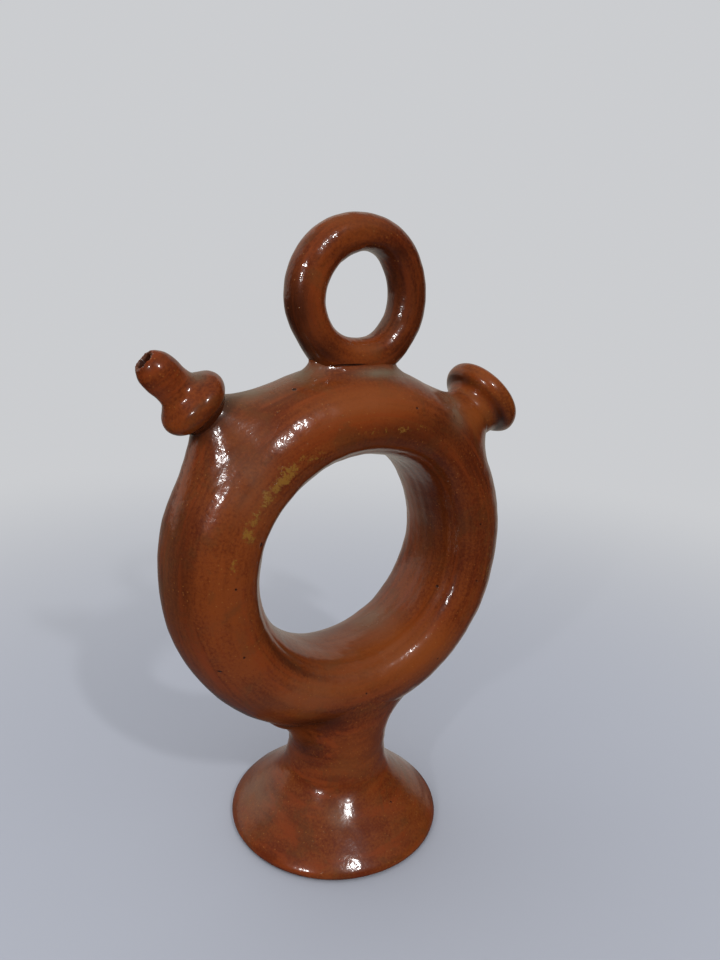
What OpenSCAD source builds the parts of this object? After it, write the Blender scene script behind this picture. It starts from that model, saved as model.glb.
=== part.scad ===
// Ring botijo: a hollow ring of glazed earthenware that holds drinking water.
// It stands on a thrown pedestal foot, is carried by a coil handle on top, is filled through
// a flared neck on one shoulder and is drunk from through a nozzle on the other.
// Each thrown piece is set on the ring with a luting of soft clay, and all are fired together.
// The ring's hole runs along Y, the filler points towards +X, and z = 0 is the table.

/* [Ring body] */
// Radius of the line along the middle of the hollow ring
ring_mid_r = 63; // [61:0.5:65]
// How far the tube stands out from that line, away from the ring's hole
tube_outer = 24.3; // [23:0.1:26]
// How far the tube stands in from that line, towards the ring's hole
tube_inner = 16.7; // [15:0.1:18]
// Half the depth of the tube, front to back
tube_half_depth = 27.3; // [26:0.1:29]
// Thickness of the thrown wall
wall = 5; // [4:0.5:6]
// Where the ring's centre stands, seen from the front, against the foot's axis
ring_shift_x = 1.6; // [0:0.1:3]
// How far the ring's centre stands behind the foot's axis
ring_shift_y = 2.1; // [0:0.1:3]

/* [Pedestal foot] */
// Height of the ring's underside above the table
stem_height = 52.4; // [50:0.1:55]
// Widest radius of the foot, just above its rounded base edge
foot_r = 52; // [49:0.5:55]
// Radius of the stem where it meets the ring
stem_r = 24; // [23:0.5:25]
// Thickness of the foot's thrown wall
foot_wall = 5.5; // [5:0.5:6]

/* [Handle] */
// Radius of the line along the middle of the handle's coil
handle_mid_r = 26; // [25:0.5:28]
// Half the thickness of the coil, seen from the front
coil_half_width = 8.6; // [8:0.1:9]
// Half the thickness of the coil, front to back
coil_half_depth = 9; // [8.5:0.1:9.5]
// How deep the handle is pressed into the top of the ring
handle_sink = 6.2; // [5.5:0.1:7]

/* [Filler neck] */
// Angle of the filler from straight up, round the ring
filler_angle = 48.6; // [46:0.1:51]
// Radius of the neck outside
filler_r = 13.6; // [13:0.1:14.5]
// Radius of the straight bore that takes the stopper
filler_bore_r = 9.5; // [9:0.1:10]
// Radius of the rolled lip
lip_r = 21.2; // [20:0.1:22]

/* [Spout] */
// Angle of the spout from straight up, round the ring
spout_angle = 43.8; // [41:0.1:46]
// Radius of the doughnut-shaped collar
collar_r = 15.2; // [14.5:0.1:16]
// Radius of the nozzle
nozzle_r = 8.5; // [8:0.1:9]
// Radius of the hole at the tip
outlet_r = 2.3; // [2:0.1:2.6]

/* [Hidden] */

$fn = 180;
section_step = 10;      // degrees between points round a tube's section
outline_steps = 4;      // straight pieces between two points of an outline
luting_turn = 15;       // degrees between the columns of a luting's skin
luting_steps = 6;       // straight pieces in a luting's fillet
lip_of_slip = 0.4;      // how proud the edge of a luting stands of what it is wiped on
hidden = 2;             // how far a luting reaches into the pieces that cut it to shape
rooted = 9;             // how far a neck runs down into the ring, before it is cut to fit it

ring_outer_r = ring_mid_r + tube_outer;
ring_centre = [ring_shift_x, ring_shift_y, stem_height + ring_outer_r];
handle_outer_r = handle_mid_r + coil_half_width;
handle_centre = [2.8, -1.6, stem_height + 2 * ring_outer_r - handle_sink + handle_outer_r];
handle_turn = [0.9, 0, 1.3];    // the handle's small lean and twist against the ring
filler_hole_r = filler_bore_r - 1.5;    // the hole cut in the ring's wall under the filler
spout_hole_r = 7;                       // the same under the spout

// The filler and the spout lean past square to the ring, and out of its plane
filler_lean = [-1, 3, 0];
spout_lean = [3, -3.6, 0];

ring_colour = [0.55, 0.25, 0.11];
foot_colour = [0.50, 0.22, 0.10];
handle_colour = [0.47, 0.19, 0.08];
neck_colour = [0.58, 0.28, 0.12];
luting_colour = [0.50, 0.33, 0.22];

// A point on the smooth curve through four points, between the second and the third
function curve_point(a, b, c, d, t) =
    0.5 * (2 * b + (c - a) * t + (2 * a - 5 * b + 4 * c - d) * t * t
           + (3 * b - a - 3 * c + d) * t * t * t);

// The smooth curve through a list of points, its ends included
function curve(p) = let (last = len(p) - 1)
    [for (i = [0:last - 1]) for (k = [0:outline_steps - 1])
        curve_point(p[max(i - 1, 0)], p[i], p[i + 1], p[min(i + 2, last)], k / outline_steps),
     p[last]];

// The section of a closed tube of unequal half-widths, drawn beside the axis of its turning
function tube_section(mid_r, outwards, inwards, half_depth) =
    [for (a = [0:section_step:359])
        [mid_r + (cos(a) > 0 ? outwards : inwards) * cos(a), half_depth * sin(a)]];

// How far the ring's skin lies below the top of its curve, at u along it and y across it
function ring_drop(u, y) =
    ring_outer_r - sqrt(pow(ring_mid_r + tube_outer * sqrt(1 - pow(y / tube_half_depth, 2)), 2) - u * u);

// A tube's section turned into a ring whose hole runs along Y
module ring_of(mid_r, outwards, inwards, half_depth)
    rotate([90, 0, 0]) rotate_extrude() polygon(tube_section(mid_r, outwards, inwards, half_depth));

// The ring's outside, with no hollow: what is joined to it is cut to fit this
module ring_outside()
    translate(ring_centre) ring_of(ring_mid_r, tube_outer, tube_inner, tube_half_depth);

// Puts what is built upwards from z = 0 on the ring's skin, an angle round from the top
module on_ring(angle, lean = [0, 0, 0])
    translate(ring_centre) rotate([0, angle, 0]) translate([0, 0, ring_outer_r]) rotate(lean) children();

module at_filler(lean = filler_lean) on_ring(filler_angle, lean) children();
module at_spout(lean = spout_lean) on_ring(-spout_angle, lean) children();

// The skin of a luting: a hollow fillet between a round neck and the ring.
// At each turn it is an arc from the neck's wall, at height "rise", to the ring's skin on an
// oval of "along" by "across". "fullness" under 1 flattens the arc, and "aside" is where the
// neck's axis stands against the ring's.
module luting_skin(neck_r, rise, along, across, fullness, aside = [0, 0]) {
    function around(a, r) = aside + r * [cos(a), sin(a)];
    function foot(a) = [along * cos(a), across * sin(a)];
    function skin(p) = -ring_drop(p[0], p[1]);
    function arc(a, t) = let (
            from = around(a, neck_r + lip_of_slip),
            way = foot(a) - from,
            low = skin(foot(a)) + lip_of_slip,
            corner = low - (skin(foot(a)) - skin(foot(a) - 0.1 * way)) * 10,
            w = [pow(1 - t, 2), 2 * fullness * t * (1 - t), t * t],
            all = w[0] + w[1] + w[2],
            place = from + way * w[2] / all)
        [place[0], place[1], (w[0] * rise + w[1] * corner + w[2] * low) / all];
    function column(a) = let (inner = around(a, neck_r - hidden), deep = skin(foot(a)) - hidden)
        concat([[inner[0], inner[1], deep], [inner[0], inner[1], rise]],
               [for (i = [0:luting_steps]) arc(a, i / luting_steps)],
               [[foot(a)[0], foot(a)[1], deep]]);
    rows = luting_steps + 4;
    columns = 360 / luting_turn;
    points = [for (a = [0:luting_turn:359]) each column(a)];
    faces = [for (c = [0:columns - 1]) for (r = [0:rows - 1])
        let (here = c * rows, next = (c + 1) % columns * rows, up = (r + 1) % rows)
        each [[here + r, here + up, next + up], [here + r, next + up, next + r]]];
    polyhedron(points, faces);
}

// The hollow ring, thrown in one piece, with a round hole cut under the filler and the spout
module ring_body() color(ring_colour) difference() {
    ring_outside();
    translate(ring_centre)
        ring_of(ring_mid_r, tube_outer - wall, tube_inner - wall, tube_half_depth - wall);
    at_filler() translate([0, 0, -2 * wall]) cylinder(h = 3 * wall, r = filler_hole_r);
    at_spout() translate([0, 0, -2 * wall]) cylinder(h = 3 * wall, r = spout_hole_r);
}

// The trumpet foot, turned hollow: the outline goes up its outside and down its inside
module pedestal_foot() color(foot_colour) difference() {
    stem_top = stem_height + tube_outer;
    inside_r = stem_r - foot_wall;
    outside = curve([[foot_r - 4.5, 0], [foot_r, 3], [foot_r - 2, 6.2], [foot_r - 8.6, 12.4],
                     [foot_r - 18.3, 20.7], [stem_r + 2.6, 29], [stem_r, 38], [stem_r, 46]]);
    inside = curve([[inside_r, 44], [inside_r, 38], [inside_r + 2, 29], [foot_r - 23.5, 19],
                    [foot_r - 14.5, 11], [foot_r - 9.5, 4], [foot_r - 9, 0]]);
    rotate_extrude()
        polygon(concat(outside, [[stem_r, stem_top], [inside_r, stem_top]], inside));
    ring_outside();
}

// The clay wiped into the corner between the foot's stem and the underside of the ring
module foot_luting() color(luting_colour) difference() {
    down_the_stem = 8.6;
    along_the_ring = 40;
    round_the_tube = tube_half_depth - 0.5;
    on_ring(180)
        luting_skin(stem_r, down_the_stem, along_the_ring, round_the_tube, 1, [ring_shift_x, -ring_shift_y]);
    pedestal_blank();
    ring_outside();
}

// The stem's outside as a plain plug, to cut the luting to it
module pedestal_blank() cylinder(h = stem_height + tube_outer, r = stem_r);

// The handle's outside, before the ring is cut out of it
module handle_blank() translate(handle_centre) rotate(handle_turn)
    ring_of(handle_mid_r, coil_half_width, coil_half_width, coil_half_depth);

// The handle: a solid coil of clay bent into a ring and pressed on
module handle_ring() color(handle_colour) difference() {
    handle_blank();
    ring_outside();
}

// The thin pad of slip that squeezed out round the handle's seat
module handle_luting() color(luting_colour) difference() {
    pad_length = 48;
    pad_width = coil_half_depth * 2 + 7;
    pad_thickness = 1.2;
    intersection() {
        translate([handle_centre[0], handle_centre[1], ring_centre[2] + ring_mid_r])
            linear_extrude(handle_outer_r)
            polygon([for (a = [0:section_step:359]) [pad_length * cos(a), pad_width * sin(a)] / 2]);
        ring_swollen(pad_thickness);
    }
    handle_blank();
    ring_outside();
}

// The ring's outside, thicker all over
module ring_swollen(by) translate(ring_centre)
    ring_of(ring_mid_r, tube_outer + by, tube_inner + by, tube_half_depth + by);

// The neck's outside: a straight neck, a flare and a thick rolled lip
module filler_blank() at_filler() rotate_extrude() polygon(concat(
    [[0, -rooted], [filler_r, -rooted]],
    curve([[filler_r, 1], [filler_r + 0.2, 5], [filler_r + 1.6, 9], [lip_r - 3.6, 11],
           [lip_r - 1.2, 12.9], [lip_r, 16], [lip_r - 1, 20], [lip_r - 4.6, 22.4],
           [lip_r - 7.4, 21.2], [lip_r - 9, 18.5]]),
    [[0, 18.5]]));

// The filler: its bore takes the stopper and opens into a funnel inside the lip
module filler_neck() color(neck_colour) difference() {
    funnel_from = 14;
    funnel_to = 18.5;
    filler_blank();
    at_filler() {
        translate([0, 0, 1]) cylinder(h = funnel_from - 1, r = filler_bore_r);
        translate([0, 0, -rooted - 1]) cylinder(h = rooted + 3, r = filler_hole_r);
        translate([0, 0, funnel_from])
            cylinder(h = funnel_to - funnel_from, r1 = filler_bore_r, r2 = lip_r - 9);
    }
    ring_outside();
}

// The clay wiped round the filler's root
module filler_luting() color(luting_colour) difference() {
    up_the_neck = 5;
    along_the_ring = 33;
    round_the_tube = 23.5;
    at_filler([0, 0, 0]) luting_skin(filler_r, up_the_neck, along_the_ring, round_the_tube, 1);
    filler_blank();
    ring_outside();
}

// The spout's outside: root, waist, doughnut collar and blunt nozzle
module spout_blank() at_spout() rotate_extrude() polygon(concat(
    [[0, -rooted], [12, -rooted]],
    curve([[12, -1], [11.2, 4], [9.8, 7.6], [collar_r - 3, 11.2], [collar_r, 15.8],
           [collar_r - 2.2, 20], [nozzle_r + 1, 23.6], [nozzle_r, 28], [nozzle_r, 32],
           [nozzle_r - 0.7, 37], [nozzle_r - 2.8, 40.4], [nozzle_r - 5.6, 42.4]]),
    [[0, 43]]));

// The spout: a narrow outlet at the tip, widening down to the hole in the ring
module spout() color(neck_colour) difference() {
    outlet_length = 22;
    tip = 43;
    spout_blank();
    at_spout() {
        translate([0, 0, tip - outlet_length]) cylinder(h = outlet_length + 1, r = outlet_r);
        translate([0, 0, -rooted - 1]) cylinder(h = rooted + 1, r = spout_hole_r);
        cylinder(h = tip - outlet_length, r1 = spout_hole_r, r2 = outlet_r);
    }
    ring_outside();
}

// The clay wiped round the spout's root, flatter, which makes the broad shoulder there
module spout_luting() color(luting_colour) difference() {
    spout_waist_r = 10.5;
    up_the_waist = 7.5;
    along_the_ring = 34;
    round_the_tube = 23.5;
    flat_arc = 0.5;
    at_spout([0, 0, 0])
        luting_skin(spout_waist_r, up_the_waist, along_the_ring, round_the_tube, flat_arc);
    spout_blank();
    ring_outside();
}

ring_body();
pedestal_foot();
foot_luting();
handle_ring();
handle_luting();
filler_neck();
filler_luting();
spout();
spout_luting();
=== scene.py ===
import bpy
import numpy as np
from mathutils import Matrix, Vector


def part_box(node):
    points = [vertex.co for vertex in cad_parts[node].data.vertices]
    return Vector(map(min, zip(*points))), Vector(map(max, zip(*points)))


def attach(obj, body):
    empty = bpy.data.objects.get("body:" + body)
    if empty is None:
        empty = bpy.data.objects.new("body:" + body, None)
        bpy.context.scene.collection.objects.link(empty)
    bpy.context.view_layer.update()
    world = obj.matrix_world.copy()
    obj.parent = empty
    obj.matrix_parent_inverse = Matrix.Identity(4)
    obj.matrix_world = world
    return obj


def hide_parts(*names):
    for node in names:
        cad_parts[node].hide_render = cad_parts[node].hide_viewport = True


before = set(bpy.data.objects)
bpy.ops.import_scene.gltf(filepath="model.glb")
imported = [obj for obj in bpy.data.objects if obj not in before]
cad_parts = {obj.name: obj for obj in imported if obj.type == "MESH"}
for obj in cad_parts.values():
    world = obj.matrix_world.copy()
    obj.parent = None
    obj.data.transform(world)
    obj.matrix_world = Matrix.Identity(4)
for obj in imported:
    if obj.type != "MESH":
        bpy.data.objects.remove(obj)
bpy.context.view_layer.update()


# The ring: a hollow tube of red earthenware thrown on the wheel in one piece, 5 mm thick, with
# two holes cut through its wall, one under the filler and one under the spout.
# Its inner wall is flattish and keeps the thrower's grooves. Honey-brown glaze covers it all.
ring_low, ring_high = (np.array(corner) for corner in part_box("ring_body"))
ring_centre = (ring_low + ring_high) / 2
ring_outer_r = (ring_high[0] - ring_low[0]) / 2
ring_half_depth = (ring_high[1] - ring_low[1]) / 2
tube_outer, tube_inner, wall = 0.0243, 0.0160, 0.005
ring_mid_r = ring_outer_r - tube_outer
filler_angle, spout_angle = np.radians(48.6), np.radians(-43.8)
filler_hole_r, spout_hole_r = 0.008, 0.007
outer_dents = ((-102, -0.85, 18), (-140, -0.50, 10), (86, -0.90, 24))
inner_dents = ((36, 2.55, 22), (54, 0.60, 12), (-96, 0.50, 14), (125, 0.80, 26))
fine_groove, broad_groove = (0.00004, 0.0058), (0.00003, 0.0083)
rim, crease, rim_width = (0.00034, 226), (-0.00016, 240), 6


def dents(turn, places):
    """Unevenness left by the hands, in metres: the sum of bell curves of an angle, each given by
    its middle in degrees, its height in millimetres and its half width in degrees."""
    degrees = np.degrees(turn)
    return sum(0.001 * height * np.exp(-((((degrees - middle) + 180) % 360 - 180) / width) ** 2)
               for middle, height, width in places)


def ring_skin(turn, around, sink=0.0):
    """Points of the ring's skin, turn radians from the top towards the filler and around radians
    round the tube from its outermost line. The tube's section is half an ellipse outside and half
    a squarer oval inside. Cosine grooves run along the inner wall, deepest at the right, and a
    low rim and a crease, both bell curves, run beside it at the front. sink moves the skin
    inwards, for the chamber, and leaves grooves and rim out."""
    c, s = np.cos(around), np.sin(around)
    inside = c < 0
    power = np.where(inside, 0.92, 1.0)
    reach = np.sign(c) * np.abs(c) ** power * (np.where(inside, tube_inner, tube_outer) - sink)
    depth = np.sign(s) * np.abs(s) ** power * (ring_half_depth - sink)
    dented = np.where(inside, dents(turn, inner_dents), dents(turn, outer_dents))
    r = ring_mid_r + (reach + dented * np.abs(c) ** 1.5)
    if sink == 0:
        grooves = sum(height * np.cos(2 * np.pi * depth / pitch + phase) for (height, pitch), phase
                      in ((fine_groove, 0.9), (broad_groove, 0)))
        on_inner_wall = np.clip(-c * 1.6 - 0.55, 0, 1)
        at_right = 0.25 + 0.75 * np.clip(np.sin(turn + 0.2), 0, 1)
        raised = sum(height * np.exp(-((np.degrees(around) % 360 - middle) / rim_width) ** 2)
                     for height, middle in (rim, crease))
        r = r + (grooves * on_inner_wall * at_right - raised * c)
        depth = depth + raised * 0.7
    return ring_centre + np.stack(np.broadcast_arrays(r * np.sin(turn), depth, r * np.cos(turn)), -1)


def rotation(axis, angle):
    """Matrix of a turn about x, y or z, which are axes 0, 1 and 2."""
    i, j = (axis + 1) % 3, (axis + 2) % 3
    matrix = np.eye(3)
    matrix[i, i] = matrix[j, j] = np.cos(angle)
    matrix[j, i], matrix[i, j] = np.sin(angle), -np.sin(angle)
    return matrix


def on_ring(angle, lean=(0, 0, 0)):
    """Origin and three axes of a place on the ring's skin, angle radians from the top: along the
    ring, across it and straight out of it, then leaned by turns in degrees about each."""
    x = np.array([np.cos(angle), 0, -np.sin(angle)])
    z = np.array([np.sin(angle), 0, np.cos(angle)])
    axes = np.stack([x, [0, 1, 0], z])
    for axis, turn in enumerate(np.radians(lean)):
        axes = rotation(axis, turn).T @ axes
    return ring_centre + ring_outer_r * z, axes


def grid_quads(rows, columns, closed=(True, True)):
    """Quads between neighbours of a grid of points numbered row by row, which may close up."""
    i, j = np.meshgrid(np.arange(rows - (not closed[0])), np.arange(columns - (not closed[1])),
                       indexing="ij")
    n, m = (i + 1) % rows, (j + 1) % columns
    return np.stack([i * columns + j, n * columns + j, n * columns + m, i * columns + m],
                    -1).reshape(-1, 4)


def ring_with_holes(turns, rounds, sink, holes, half=(8, 12), layers=6):
    """The tube as a grid, with a window of whole cells left out round each hole. Rows of points
    run from the window's edge to the hole's circle, straight in the two angles of ring_skin.
    Gives the points, the quads and, for each hole, the numbers of its circle's points."""
    turn, around = 2 * np.pi * np.arange(turns) / turns, 2 * np.pi * np.arange(rounds) / rounds
    points = [ring_skin(turn[:, None], around[None, :], sink).reshape(-1, 3)]
    quads = grid_quads(turns, rounds)
    circles, count = [], turns * rounds
    a, b = half
    edge = np.concatenate([
        np.stack([np.arange(-a, a), np.full(2 * a, -b)], -1),
        np.stack([np.full(2 * b, a), np.arange(-b, b)], -1),
        np.stack([np.arange(a, -a, -1), np.full(2 * a, b)], -1),
        np.stack([np.full(2 * b, -a), np.arange(b, -b, -1)], -1)])
    bearing = np.arctan2(edge[:, 1] / b, edge[:, 0] / a)
    for angle, hole_r in holes:
        middle = int(round(angle / (2 * np.pi) * turns))
        i, j = quads[:, 0] // rounds, quads[:, 0] % rounds
        near_i = (i - middle + turns // 2) % turns - turns // 2
        near_j = (j + rounds // 2) % rounds - rounds // 2
        quads = quads[~((near_i >= -a) & (near_i < a) & (near_j >= -b) & (near_j < b))]
        start = np.stack([(edge[:, 0] + middle) * 2 * np.pi / turns,
                          edge[:, 1] * 2 * np.pi / rounds], -1)
        end = np.stack([angle + hole_r * np.cos(bearing) / (ring_outer_r - sink),
                        np.arcsin(hole_r * np.sin(bearing) / (ring_half_depth - sink))], -1)
        share = (np.arange(1, layers + 1) / layers)[:, None, None]
        way = start * (1 - share) + end * share
        points.append(ring_skin(way[..., 0], way[..., 1], sink).reshape(-1, 3))
        numbers = np.vstack([((edge[:, 0] + middle) % turns) * rounds + edge[:, 1] % rounds,
                             count + np.arange(layers * len(edge)).reshape(layers, -1)])
        along = np.roll(numbers, -1, axis=1)
        quads = np.vstack([quads, np.stack([numbers[:-1], along[:-1], along[1:], numbers[1:]],
                                           -1).reshape(-1, 4)])
        circles.append(numbers[-1])
        count += layers * len(edge)
    return np.vstack(points), quads, circles


def clay_waves(points, length, seed, count=14):
    """Smooth unevenness: the sum of sine waves of about one length, in evenly drawn directions."""
    draw = np.random.default_rng(seed)
    way = draw.normal(size=(3, count))
    way *= 2 * np.pi / (length * draw.uniform(0.8, 1.25, count)) / np.linalg.norm(way, axis=0)
    return np.sin(points @ way + draw.uniform(0, 2 * np.pi, count)).sum(1) / np.sqrt(count / 2)


def bells(points, places):
    """Sum of soft patches on the skin, each a bell curve of a centre, three half sizes and a
    strength, never over 1."""
    total = np.zeros(len(points))
    for centre, size, strength in places:
        total += strength * np.exp(-(((points - centre) / size) ** 2).sum(1))
    return np.minimum(total, 1)


clay_relief = ((0.00022, 0.048, 3), (0.00006, 0.015, 5), (0.000022, 0.0062, 8))
finger_relief = (0.00005, 0.0044, 21)
fingered = [((-0.0635, -0.0150, 0.1930), (0.0100, 0.014, 0.0110), 1.0),
            ((-0.0690, -0.0170, 0.1790), (0.0080, 0.014, 0.0080), 0.8),
            ((-0.0150, -0.0100, 0.2780), (0.0130, 0.012, 0.0090), 1.8)]
table_calm = 0.01


def uneven(points, quads, amount=1.0, lumps=()):
    """Moves each point along the skin's normal by long, middling and short clay waves, the same
    at the same place on every piece, and less close to the table. Each kind of wave has a height,
    a length and a seed. Finger marks are short waves on the shoulder at the spout and on the
    handle's top. Lumps are bells of a centre, three half sizes and a height in metres, which is
    negative for a nick."""
    corners = points[quads.T]
    face = np.cross(corners[2] - corners[0], corners[3] - corners[1])
    normals = np.zeros_like(points)
    for corner in quads.T:
        np.add.at(normals, corner, face)
    normals /= np.linalg.norm(normals, axis=1, keepdims=True) + 1e-12
    if (np.cross(corners[0], corners[1]) * corners[2]).sum() < 0:
        normals = -normals
    height = sum(rise * clay_waves(points, length, seed) for rise, length, seed in clay_relief)
    rise, length, seed = finger_relief
    height = height + rise * clay_waves(points, length, seed) * bells(points, fingered)
    height = amount * height * np.clip(points[:, 2] / table_calm, 0, 1)
    for centre, size, rise in lumps:
        height += rise * np.exp(-(((points - centre) / size) ** 2).sum(1))
    return points + normals * height[:, None]


def make_piece(name, points, quads, node, material, film_and_sheen=(), ochre=(), shade=(), painted_shade=0,
               bare=0):
    """Puts points and quads into a mesh, turns its faces outwards, and lets it ride on the jug's
    body in the place of its CAD node. film_and_sheen, ochre and shade are the places of the grey
    glaze skin with its painted sheen, of ochre and of painted shade; they go into a colour
    attribute, where a negative shade lightens the glaze: painted light in places, a lighter glaze
    in others. painted_shade adds more painted shade, point by point, and bare is where the clay has
    no glaze."""
    corners = points[quads.T]
    volume = (np.cross(corners[0], corners[1]) * corners[2]).sum() + (
        np.cross(corners[0], corners[2]) * corners[3]).sum()
    quads = quads if volume > 0 else quads[:, ::-1]
    mesh = bpy.data.meshes.new(name)
    mesh.vertices.add(len(points))
    mesh.vertices.foreach_set("co", points.astype(np.float32).ravel())
    mesh.loops.add(quads.size)
    mesh.loops.foreach_set("vertex_index", quads.astype(np.int32).ravel())
    mesh.polygons.add(len(quads))
    mesh.polygons.foreach_set("loop_start", np.arange(0, quads.size, 4, dtype=np.int32))
    mesh.update(calc_edges=True)
    mesh.validate()
    mesh.shade_smooth()
    mesh.set_sharp_from_angle(angle=np.radians(40))
    mesh.materials.append(material)
    marks = mesh.attributes.new("glaze_and_painted_light_marks", "FLOAT_COLOR", "POINT")
    shades = np.clip(bells(points, shade) + painted_shade, -1, 1)
    shares = np.stack([bells(points, film_and_sheen), bells(points, ochre), shades, bare + 0 * shades], 1)
    marks.data.foreach_set("color", shares.astype(np.float32).ravel())
    piece = bpy.data.objects.new(name, mesh)
    bpy.context.scene.collection.objects.link(piece)
    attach(piece, "root")
    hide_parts(node)


def add_node(tree, kind, feeds=None, **settings):
    """Adds a shader node, sets it, and feeds its sockets from values or from other sockets."""
    made = tree.nodes.new("ShaderNode" + kind)
    for name, value in settings.items():
        setattr(made, name, value)
    for socket, value in (feeds or {}).items():
        if isinstance(value, bpy.types.NodeSocket):
            tree.links.new(value, made.inputs[socket])
        else:
            made.inputs[socket].default_value = value
    return made


def calc(tree, operation, *values):
    """The result of one Math node."""
    return add_node(tree, "Math", dict(enumerate(values)), operation=operation).outputs[0]


def plus(tree, first, second):
    """The result of a Math node that adds."""
    return calc(tree, "ADD", first, second)


def times(tree, first, second):
    """The result of a Math node that multiplies."""
    return calc(tree, "MULTIPLY", first, second)


def vectors(tree, operation, *values):
    """The results of one Vector Math node: a vector and a number."""
    return add_node(tree, "VectorMath", dict(enumerate(values)), operation=operation).outputs


def noise(tree, vector, scale, detail=3.0, roughness=0.55, distortion=0.0):
    """The grey value of a Noise Texture at a vector."""
    return add_node(tree, "TexNoise", {"Vector": vector, "Scale": scale, "Detail": detail,
                    "Roughness": roughness, "Distortion": distortion}).outputs["Fac"]


def ramp(tree, value, low, high, to_low=0.0, to_high=1.0):
    """Smooth step of a value between two limits."""
    return add_node(tree, "MapRange", {"Value": value, "From Min": low, "From Max": high,
                    "To Min": to_low, "To Max": to_high},
                    interpolation_type="SMOOTHSTEP").outputs["Result"]


def tint(tree, share, below, above, mode="MIX"):
    """Mixes two colours by a share."""
    return add_node(tree, "Mix", {0: share, 6: below, 7: above}, data_type="RGBA",
                    blend_type=mode).outputs[2]


def new_group(name, inputs, outputs):
    """A node group with named sockets: inputs and outputs are pairs of a name and a kind."""
    tree = bpy.data.node_groups.new(name, "ShaderNodeTree")
    for direction, sockets in (("INPUT", inputs), ("OUTPUT", outputs)):
        for socket, kind in sockets:
            tree.interface.new_socket(socket, in_out=direction, socket_type="NodeSocket" + kind)
    return tree, tree.nodes.new("NodeGroupInput").outputs, tree.nodes.new("NodeGroupOutput").inputs


# The glaze as the kiln left it: thin honey where it ran off, dark red-brown where it pooled,
# drawn out along the thrower's turning, with an orange-peel skin, specks and burst bubbles.
# Painted shade, painted light and painted sheen from each piece's marks go on top of it.
glaze, given, wanted = new_group(
    "fired_glaze",
    [("Position", "Vector"), ("Turning", "Vector"), ("Dark", "Color"), ("Warm", "Color"),
     ("Marks", "Color"), ("Bare", "Float"), ("Pit and crack shade", "Float")],
    [("Color", "Color"), ("Roughness", "Float"), ("Height", "Float")])
at, along, bare = given["Position"], given["Turning"], given["Bare"]
film_and_sheen_mark, ochre_mark, shade_mark = add_node(glaze, "SeparateColor", {"Color": given["Marks"]}).outputs
cloud = noise(glaze, at, 24, 3, 0.55, 0.3)
drawn = noise(glaze, along, 1.0, 5, 0.62, 0.1)
thread = noise(glaze, along, 4.2, 3, 0.6)
grain = noise(glaze, at, 850, 2, 0.6)
pool = times(glaze, cloud, 1.25)
for layer, weight in ((drawn, 0.85), (thread, 0.55), (grain, 0.95)):
    pool = plus(glaze, pool, times(glaze, layer, weight))
body = tint(glaze, ramp(glaze, pool, 1.46, 2.14), given["Dark"], given["Warm"])
ember = ramp(glaze, noise(glaze, along, 2.1, 4, 0.6, 0.4), 0.50, 0.66)
body = tint(glaze, times(glaze, ember, 0.75), body, (0.205, 0.034, 0.0042, 1))
umber = ramp(glaze, noise(glaze, along, 1.3, 5, 0.65, 0.6), 0.55, 0.70)
body = tint(glaze, times(glaze, umber, 0.45), body, (0.075, 0.0150, 0.0030, 1))
olive = ramp(glaze, noise(glaze, at, 52, 5, 0.7, 0.8), 0.52, 0.66)
body = tint(glaze, times(glaze, olive, 0.45), body, (0.110, 0.0360, 0.0085, 1))
# The shade mark paints shade in a deep brown: in hollows, under rims, in cracks and on faces turned
# from the lamps. Negative, it lightens towards honey: painted light on some faces, a lighter glaze on
# others.
streaky = ramp(glaze, noise(glaze, along, 1.7, 4, 0.6), 0.25, 0.6, 0.7, 1.15)
shade = times(glaze, shade_mark, streaky)
painted_shade_share = calc(glaze, "MINIMUM", calc(glaze, "MAXIMUM", shade, 0.0), 1.0)
body = tint(glaze, painted_shade_share, body, (0.036, 0.0070, 0.0016, 1))
painted_light_and_thin_glaze = calc(glaze, "MAXIMUM", times(glaze, shade, -1.0), 0.0)
body = tint(glaze, calc(glaze, "MINIMUM", painted_light_and_thin_glaze, 1.0), body, (0.240, 0.058, 0.0100, 1))
broken = plus(glaze, noise(glaze, at, 360, 5, 0.8), times(glaze, ochre_mark, 0.24))
broken = ramp(glaze, broken, 0.60, 0.72)
ochre = times(glaze, broken, calc(glaze, "MINIMUM", times(glaze, ochre_mark, 2.5), 1.0))
body = tint(glaze, times(glaze, ochre, 0.90), body, (0.240, 0.103, 0.0090, 1))
# Grey film: a duller skin on the glaze that also carries painted sheen and painted reflection.
patchy = ramp(glaze, noise(glaze, at, 70, 5, 0.65), 0.28, 0.58, 0.25, 1.0)
film_and_sheen = times(glaze, film_and_sheen_mark, patchy)
body = tint(glaze, film_and_sheen, body, (0.165, 0.118, 0.070, 1))
speck_cells = add_node(glaze, "TexVoronoi", {"Vector": at, "Scale": 900.0}).outputs
speck_pick = add_node(glaze, "SeparateColor", {"Color": speck_cells["Color"]}).outputs[0]
gathered = ramp(glaze, noise(glaze, at, 45, 2, 0.5), 0.45, 0.66, 0.99, 0.86)
speck = times(glaze, ramp(glaze, speck_cells["Distance"], 0.36, 0.20),
              calc(glaze, "GREATER_THAN", speck_pick, gathered))
body = tint(glaze, times(glaze, speck, 0.42), body, (0.34, 0.120, 0.020, 1))
pit_cells = add_node(glaze, "TexVoronoi", {"Vector": at, "Scale": 95.0}).outputs
pit_pick = add_node(glaze, "SeparateColor", {"Color": pit_cells["Color"]}).outputs[0]
pit_and_crack_shade = times(glaze, ramp(glaze, pit_cells["Distance"], 0.05, 0.02),
            calc(glaze, "GREATER_THAN", pit_pick, 0.90))
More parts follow.
